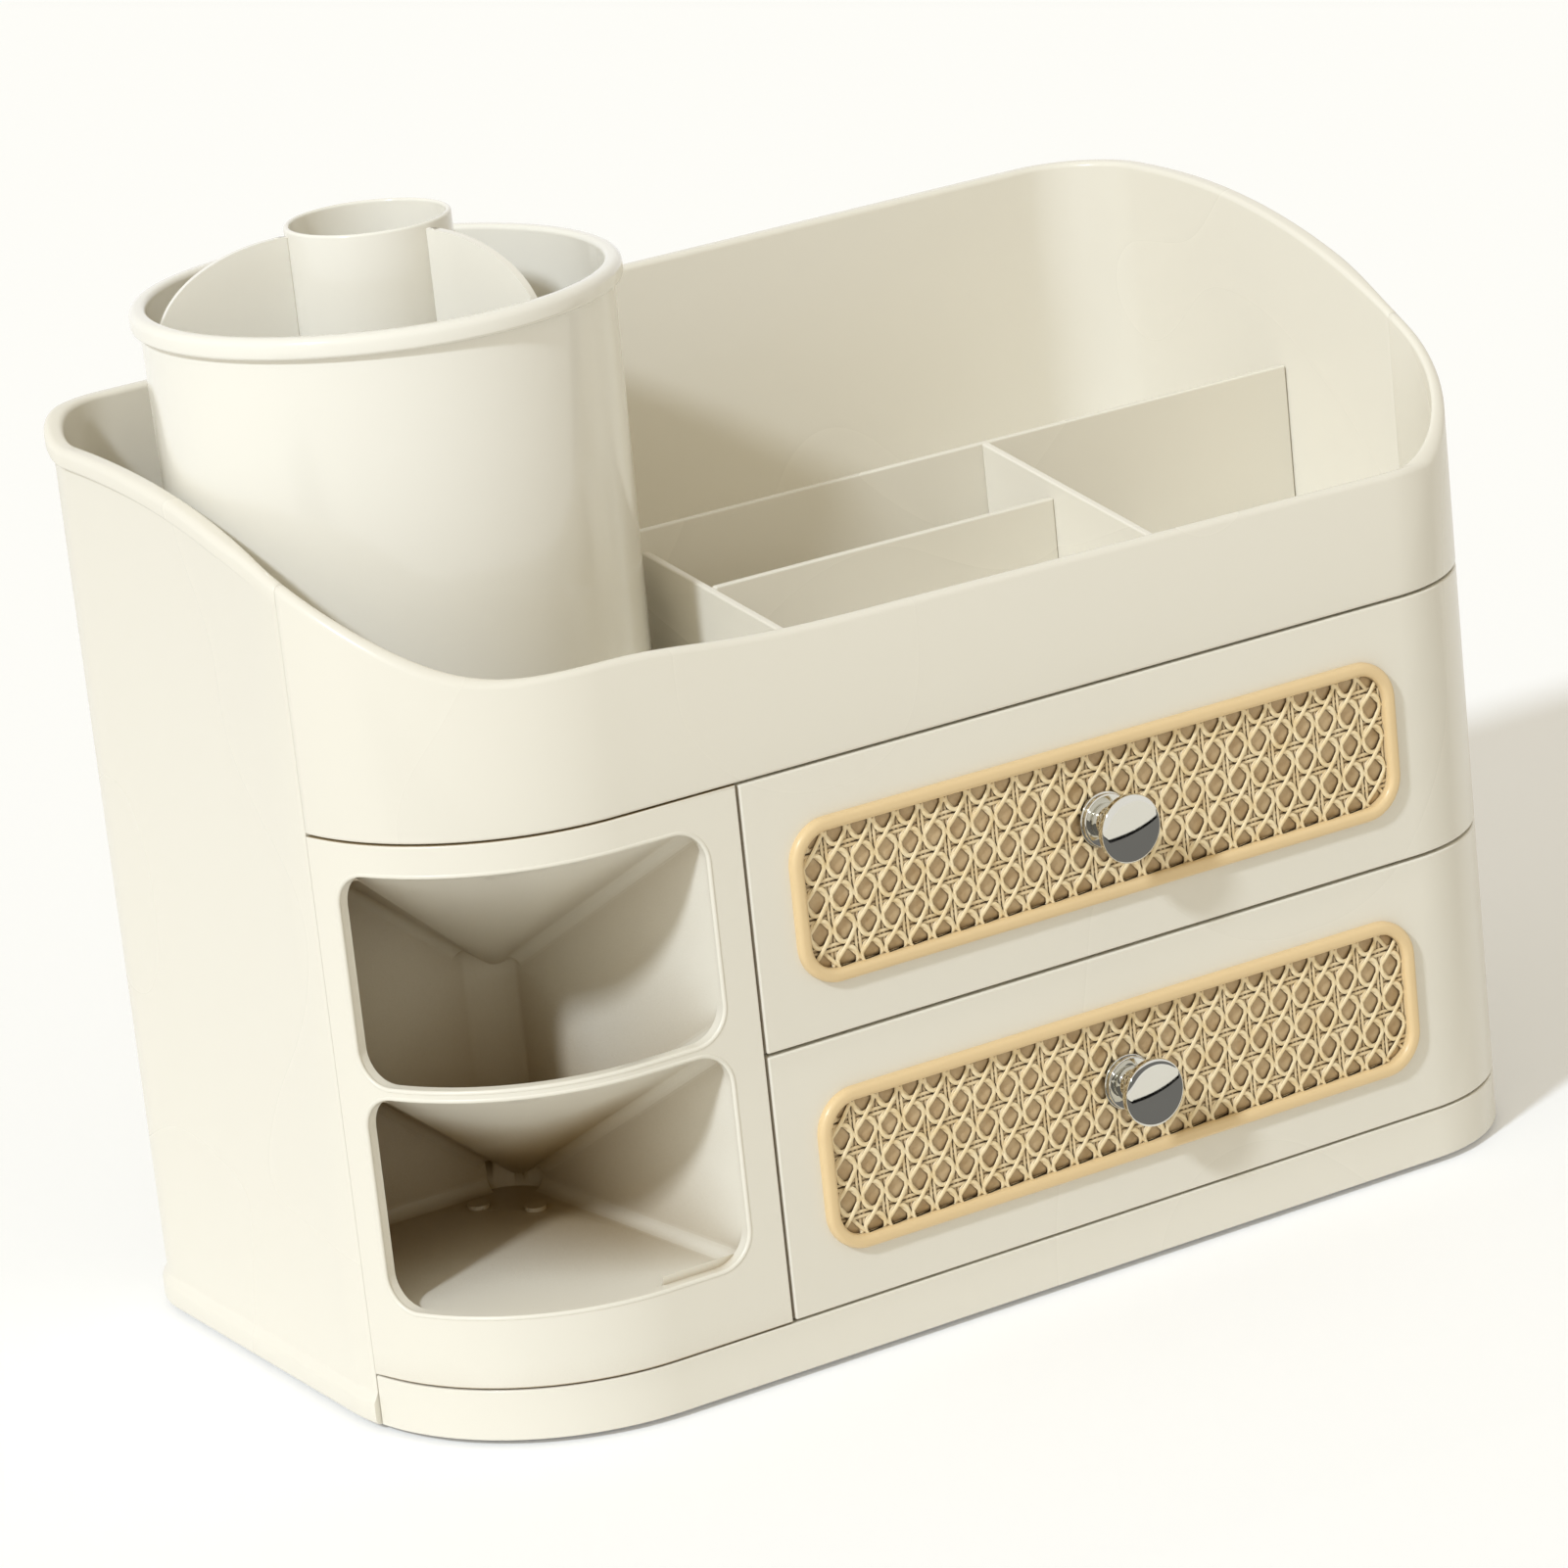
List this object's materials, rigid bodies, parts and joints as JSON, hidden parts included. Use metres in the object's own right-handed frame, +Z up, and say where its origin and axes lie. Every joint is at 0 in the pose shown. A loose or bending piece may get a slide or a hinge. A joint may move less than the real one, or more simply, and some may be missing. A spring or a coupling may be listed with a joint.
{
  "type": "makeup organizer",
  "caption": "Desktop makeup organizer with sliding drawers, slanted corner pockets, a divided tray with a swooping rim, and a turning brush cup with a lift-out insert.",
  "frame": {"origin": "centre of the footprint, knobs and rim included, on the surface that the feet stand on", "axes": "+X along the front from the cup to the drawers' right end, +Y from the drawer fronts to the back, +Z up"},
  "size_m": [0.3032, 0.1786, 0.2606],
  "materials": {
    "shell_plastic": "satin moulded, cream",
    "cup_plastic": "glossy moulded, cream",
    "cane": "woven cane look, tan",
    "tan_plastic": "smooth, tan",
    "chrome_metal": "polished",
    "steel": "zinc plated",
    "nylon": "natural nylon",
    "foot_rubber": "soft grey"
  },
  "bodies": {
    "case": {"outer_shell": "shell_plastic", "base_plate": "shell_plastic", "corner_cubby": "shell_plastic", "bay_wall": "shell_plastic", "drawer_deck": "shell_plastic", "top_tray": "shell_plastic", "long_divider": "shell_plastic", "left_cross_divider": "shell_plastic", "right_cross_divider": "shell_plastic", "middle_divider": "shell_plastic", "cup_pivot": "nylon", "pivot_washer": "steel", "pivot_screw": "steel", "cup_glide_ring": "nylon", "base_screws": "steel", "foot_front_left": "foot_rubber", "foot_front_right": "foot_rubber", "foot_back_left": "foot_rubber", "foot_back_right": "foot_rubber"},
    "cup": {"brush_cup": "cup_plastic"},
    "insert": {"insert_tube": "cup_plastic", "insert_wing_rear": "cup_plastic", "insert_wing_left": "cup_plastic", "insert_wing_right": "cup_plastic"},
    "upper_drawer": {"upper_drawer_front": "shell_plastic", "upper_drawer_box": "shell_plastic", "upper_cane_panel": "cane", "upper_bezel": "tan_plastic", "upper_knob": "chrome_metal", "upper_knob_collar": "chrome_metal", "upper_knob_screw": "steel"},
    "lower_drawer": {"lower_drawer_front": "shell_plastic", "lower_drawer_box": "shell_plastic", "lower_cane_panel": "cane", "lower_bezel": "tan_plastic", "lower_knob": "chrome_metal", "lower_knob_collar": "chrome_metal", "lower_knob_screw": "steel"}
  },
  "joints": [
    {"name": "upper_drawer_slide", "type": "slide", "parent": "case", "child": "upper_drawer", "axis": [0, -1, 0], "range_m": [0, 0.105]},
    {"name": "lower_drawer_slide", "type": "slide", "parent": "case", "child": "lower_drawer", "axis": [0, -1, 0], "range_m": [0, 0.105]},
    {"name": "cup_turn", "type": "hinge", "parent": "case", "child": "cup", "pos_m": [-0.0915, 0.0152, 0.145], "axis": [0, 0, 1], "continuous": true},
    {"name": "insert_lift", "type": "slide", "parent": "cup", "child": "insert", "axis": [0, 0, 1], "range_m": [0, 0.12]}
  ]
}
